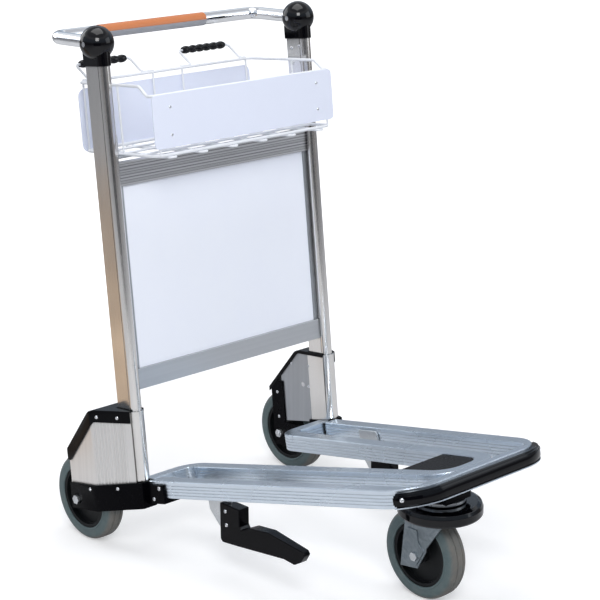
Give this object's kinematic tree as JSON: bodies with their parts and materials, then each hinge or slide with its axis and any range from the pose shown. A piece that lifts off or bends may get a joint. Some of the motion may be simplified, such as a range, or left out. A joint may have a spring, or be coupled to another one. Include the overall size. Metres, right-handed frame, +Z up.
{
  "type": "airport luggage trolley",
  "caption": "Three-wheeled airport luggage trolley: leaning post frame with display panel, wire basket, press-to-release brake handle, sloping tapered base and swivelling front castor.",
  "frame": {"origin": "on the floor, under the middle of the trolley's footprint", "axes": "+Z up; -Y is the front (the castor end); the user stands behind at +Y; +X is the user's left-hand side as they face the front"},
  "size_m": [0.634, 0.9218, 1.0297],
  "materials": {
    "upright_aluminium": "satin",
    "casing_aluminium": "ribbed satin",
    "deck_aluminium": "satin",
    "black_plastic": "semi-gloss",
    "black_paint": "semi-gloss",
    "gloss_black": "gloss",
    "bumper_rubber": "gloss",
    "zinc_steel": "zinc plated",
    "bearing_steel": "bright",
    "white_board": "smooth",
    "white_wire": "powder coat",
    "white_panel": "powder coat",
    "chrome_tube": "polished",
    "grey_sleeve": "satin",
    "orange_strip": "smooth",
    "tyre_rubber": "matt",
    "hub_plastic": "moulded"
  },
  "bodies": {
    "chassis": {"left_upright": "upright_aluminium", "right_upright": "upright_aluminium", "upright_sleeves": "upright_aluminium", "left_casing": "casing_aluminium", "right_casing": "casing_aluminium", "inner_plates": "casing_aluminium", "arch_covers": "black_plastic", "axle_brackets": "black_paint", "corner_connectors": "black_paint", "outer_rail": "deck_aluminium", "inner_rail": "deck_aluminium", "rear_links": "deck_aluminium", "front_bumper": "bumper_rubber", "bumper_lip": "deck_aluminium", "castor_mount": "black_paint", "castor_head": "zinc_steel", "swivel_bearing": "bearing_steel", "hanger_plates": "zinc_steel", "foot_hooks": "black_plastic", "upper_cross_panel": "upright_aluminium", "lower_cross_rail": "upright_aluminium", "display_panel": "white_board", "panel_channels": "upright_aluminium", "knuckle_shells": "gloss_black", "knuckle_covers": "gloss_black", "pivot_pins": "bearing_steel", "rod_guides": "black_plastic", "left_rod_spring": "bearing_steel", "right_rod_spring": "bearing_steel", "rear_axles": "zinc_steel", "basket_floor": "white_wire", "basket_rim": "white_wire", "basket_front_panel": "white_panel", "basket_rear_panel": "white_panel", "basket_brackets": "zinc_steel", "finger_grips": "gloss_black", "rivets": "bearing_steel", "screws": "bearing_steel"},
    "handle": {"handlebar": "chrome_tube", "handle_sleeve": "grey_sleeve", "handle_strip": "orange_strip", "handle_cranks": "zinc_steel"},
    "left_rod": {"left_brake_rod": "zinc_steel"},
    "right_rod": {"right_brake_rod": "zinc_steel"},
    "left_lever": {"left_brake_lever": "zinc_steel", "left_brake_shoe": "bumper_rubber"},
    "right_lever": {"right_brake_lever": "zinc_steel", "right_brake_shoe": "bumper_rubber"},
    "left_wheel": {"left_wheel_tyre": "tyre_rubber", "left_wheel_hub": "hub_plastic", "left_wheel_bearings": "bearing_steel"},
    "right_wheel": {"right_wheel_tyre": "tyre_rubber", "right_wheel_hub": "hub_plastic", "right_wheel_bearings": "bearing_steel"},
    "castor": {"castor_fork": "zinc_steel", "castor_guard": "gloss_black", "castor_axle": "zinc_steel"},
    "castor_wheel": {"castor_wheel_tyre": "tyre_rubber", "castor_wheel_hub": "hub_plastic", "castor_wheel_bearings": "bearing_steel"}
  },
  "joints": [
    {"name": "left_wheel_spin", "type": "hinge", "parent": "chassis", "child": "left_wheel", "pos_m": [-0.278, 0.34523, 0.0875], "axis": [1, 0, 0], "continuous": true},
    {"name": "right_wheel_spin", "type": "hinge", "parent": "chassis", "child": "right_wheel", "pos_m": [0.278, 0.34523, 0.0875], "axis": [1, 0, 0], "continuous": true},
    {"name": "castor_swivel", "type": "hinge", "parent": "chassis", "child": "castor", "pos_m": [0, -0.34576, 0.182], "axis": [0, 0, 1], "continuous": true},
    {"name": "castor_wheel_spin", "type": "hinge", "parent": "castor", "child": "castor_wheel", "pos_m": [0, -0.31077, 0.0875], "axis": [1, 0, 0], "continuous": true},
    {"name": "handle_press", "type": "hinge", "parent": "chassis", "child": "handle", "pos_m": [0, 0.30113, 0.99717], "axis": [-1, 0, 0], "range_deg": [0, 12], "stiffness_Nm_per_rad": 12, "springref_deg": -17.19},
    {"name": "left_rod_slide", "type": "slide", "parent": "chassis", "child": "left_rod", "axis": [0, -0.0976, -0.9952], "range_m": [0, 0.0034], "deforming": ["left_rod_spring"]},
    {"name": "left_brake_lift", "type": "hinge", "parent": "chassis", "child": "left_lever", "pos_m": [-0.257, 0.27572, 0.21542], "axis": [1, 0, 0], "range_deg": [0, 5.5]},
    {"name": "right_rod_slide", "type": "slide", "parent": "chassis", "child": "right_rod", "axis": [0, -0.0976, -0.9952], "range_m": [0, 0.0034], "deforming": ["right_rod_spring"]},
    {"name": "right_brake_lift", "type": "hinge", "parent": "chassis", "child": "right_lever", "pos_m": [0.257, 0.27572, 0.21542], "axis": [1, 0, 0], "range_deg": [0, 5.5]}
  ],
  "couplings": [
    {"joint": "left_rod_slide", "follows": "handle_press", "m_per_rad": 0.0145},
    {"joint": "left_brake_lift", "follows": "handle_press", "ratio": 0.41429},
    {"joint": "right_rod_slide", "follows": "handle_press", "m_per_rad": 0.0145},
    {"joint": "right_brake_lift", "follows": "handle_press", "ratio": 0.41429}
  ]
}
